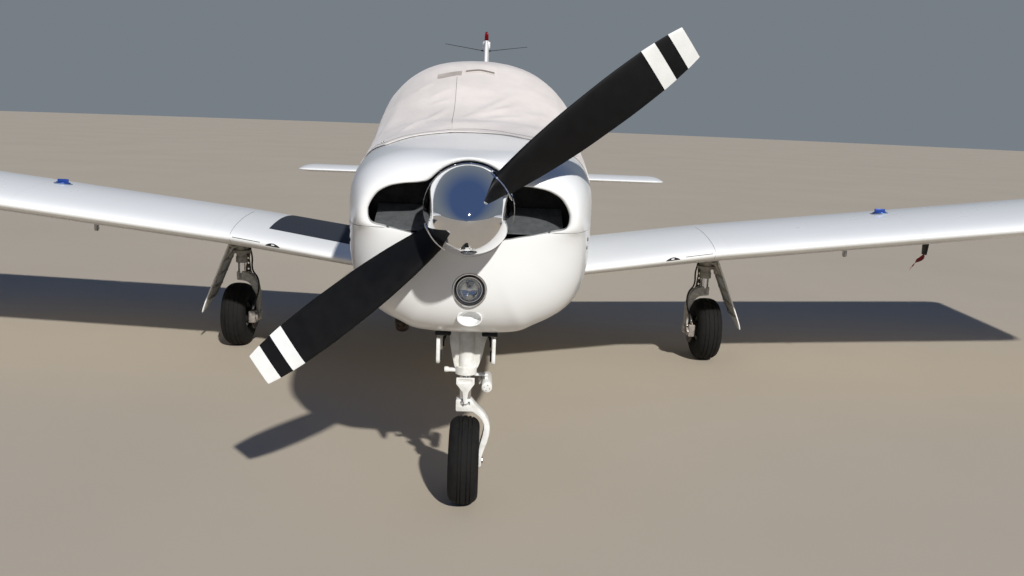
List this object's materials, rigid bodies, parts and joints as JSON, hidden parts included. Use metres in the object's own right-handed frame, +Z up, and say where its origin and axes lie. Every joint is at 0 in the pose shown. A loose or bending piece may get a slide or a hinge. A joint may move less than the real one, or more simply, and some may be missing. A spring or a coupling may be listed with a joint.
{
  "type": "low-wing light aircraft",
  "caption": "Low-wing single-engine light aircraft parked on tricycle gear, with a cloth cover over its cabin.",
  "frame": {"origin": "on the ground under the middle of the aircraft's box", "axes": "+X to the aircraft's left wing tip, +Y aft to the tail, +Z up; the nose points to -Y"},
  "size_m": [9.81, 7.53, 2.44],
  "materials": {
    "white_paint": "gloss",
    "gear_paint": "satin",
    "gear_grey": "satin",
    "wheel_metal": "satin",
    "tyre_rubber": "matte",
    "cover_cloth": "matte",
    "strap_webbing": "matte",
    "spinner_chrome": "polished",
    "blade_black": "matte",
    "engine_iron": "matte",
    "baffle_sheet": "satin",
    "lamp_glass": "gloss",
    "red_lens": "gloss",
    "dark_metal": "matte",
    "ribbon_cloth": "matte"
  },
  "bodies": {
    "airframe": {"cowl_upper": "white_paint", "cowl_lower": "white_paint", "landing_light": "lamp_glass", "engine_block": "engine_iron", "inlet_baffle": "baffle_sheet", "cabin_lower": "white_paint", "cabin_roof": "white_paint", "cabin_door": "white_paint", "cockpit_cover": "cover_cloth", "cover_strap_front": "strap_webbing", "cover_strap_rear": "strap_webbing", "tail_cone": "white_paint", "wing_left": "white_paint", "wing_right": "white_paint", "fin": "white_paint", "beacon": "red_lens", "nav_antenna": "dark_metal", "nose_leg": "gear_paint", "nose_door_left": "white_paint", "nose_door_right": "white_paint", "main_leg_left": "gear_grey", "main_leg_right": "gear_grey", "main_door_left": "white_paint", "main_door_right": "white_paint", "exhaust_pipe": "dark_metal", "pitot_mast": "dark_metal", "pitot_streamer": "ribbon_cloth"},
    "propeller": {"propeller": "blade_black", "spinner": "spinner_chrome"},
    "nose_fork": {"nose_fork": "gear_paint", "nose_torque_link": "gear_paint"},
    "nose_wheel": {"nose_tyre": "tyre_rubber", "nose_wheel": "wheel_metal"},
    "main_wheel_left": {"main_tyre_left": "tyre_rubber", "main_wheel_left": "wheel_metal"},
    "main_wheel_right": {"main_tyre_right": "tyre_rubber", "main_wheel_right": "wheel_metal"},
    "aileron_left": {"aileron_left": "white_paint"},
    "aileron_right": {"aileron_right": "white_paint"},
    "flap_left": {"flap_left": "white_paint"},
    "flap_right": {"flap_right": "white_paint"},
    "rudder": {"rudder": "white_paint"},
    "stabilator": {"stabilator": "white_paint"},
    "trim_tab": {"trim_tab_left": "white_paint", "trim_tab_right": "white_paint"},
    "baggage_door": {"baggage_door": "white_paint"}
  },
  "joints": [
    {"name": "propeller_spin", "type": "hinge", "parent": "airframe", "child": "propeller", "pos_m": [0, -3.452, 1.26], "axis": [0, 1, 0], "continuous": true},
    {"name": "nose_steer", "type": "hinge", "parent": "airframe", "child": "nose_fork", "pos_m": [0, -3.035, 0.5], "axis": [0, 0, 1], "range_deg": [-30, 30]},
    {"name": "nose_wheel_spin", "type": "hinge", "parent": "nose_fork", "child": "nose_wheel", "pos_m": [0.002, -3.035, 0.1815], "axis": [1, 0, 0], "continuous": true},
    {"name": "main_wheel_left_spin", "type": "hinge", "parent": "airframe", "child": "main_wheel_left", "pos_m": [1.575, -0.635, 0.2075], "axis": [1, 0, 0], "continuous": true},
    {"name": "main_wheel_right_spin", "type": "hinge", "parent": "airframe", "child": "main_wheel_right", "pos_m": [-1.575, -0.635, 0.2075], "axis": [1, 0, 0], "continuous": true},
    {"name": "aileron_left_hinge", "type": "hinge", "parent": "airframe", "child": "aileron_left", "pos_m": [3, -0.15, 0.9542], "axis": [0.9934, 0, 0.1149], "range_deg": [-15, 30]},
    {"name": "aileron_right_hinge", "type": "hinge", "parent": "airframe", "child": "aileron_right", "pos_m": [-3, -0.15, 0.9542], "axis": [0.9934, 0, -0.1149], "range_deg": [-15, 30]},
    {"name": "flap_left_hinge", "type": "hinge", "parent": "airframe", "child": "flap_left", "pos_m": [1, -0.118, 0.7202], "axis": [-0.9934, 0, -0.1149], "range_deg": [0, 40]},
    {"name": "flap_right_hinge", "type": "hinge", "parent": "airframe", "child": "flap_right", "pos_m": [-1, -0.118, 0.7202], "axis": [-0.9934, 0, 0.1149], "range_deg": [0, 40]},
    {"name": "rudder_hinge", "type": "hinge", "parent": "airframe", "child": "rudder", "pos_m": [0, 3.41, 1.7], "axis": [0, 0, 1], "range_deg": [-27, 27]},
    {"name": "stabilator_pivot", "type": "hinge", "parent": "airframe", "child": "stabilator", "pos_m": [0, 3.255, 0.935], "axis": [1, 0, 0], "range_deg": [-2, 14]},
    {"name": "trim_tab_hinge", "type": "hinge", "parent": "stabilator", "child": "trim_tab", "pos_m": [0, 3.645, 0.935], "axis": [1, 0, 0], "range_deg": [-3, 12]},
    {"name": "baggage_door_hinge", "type": "hinge", "parent": "airframe", "child": "baggage_door", "pos_m": [-0.5085, 0.405, 1.222], "axis": [0.1099, 0.9939, 0], "range_deg": [0, 80]}
  ],
  "couplings": [
    {"joint": "flap_right_hinge", "follows": "flap_left_hinge", "ratio": 1},
    {"joint": "trim_tab_hinge", "follows": "stabilator_pivot", "ratio": 0.8}
  ]
}
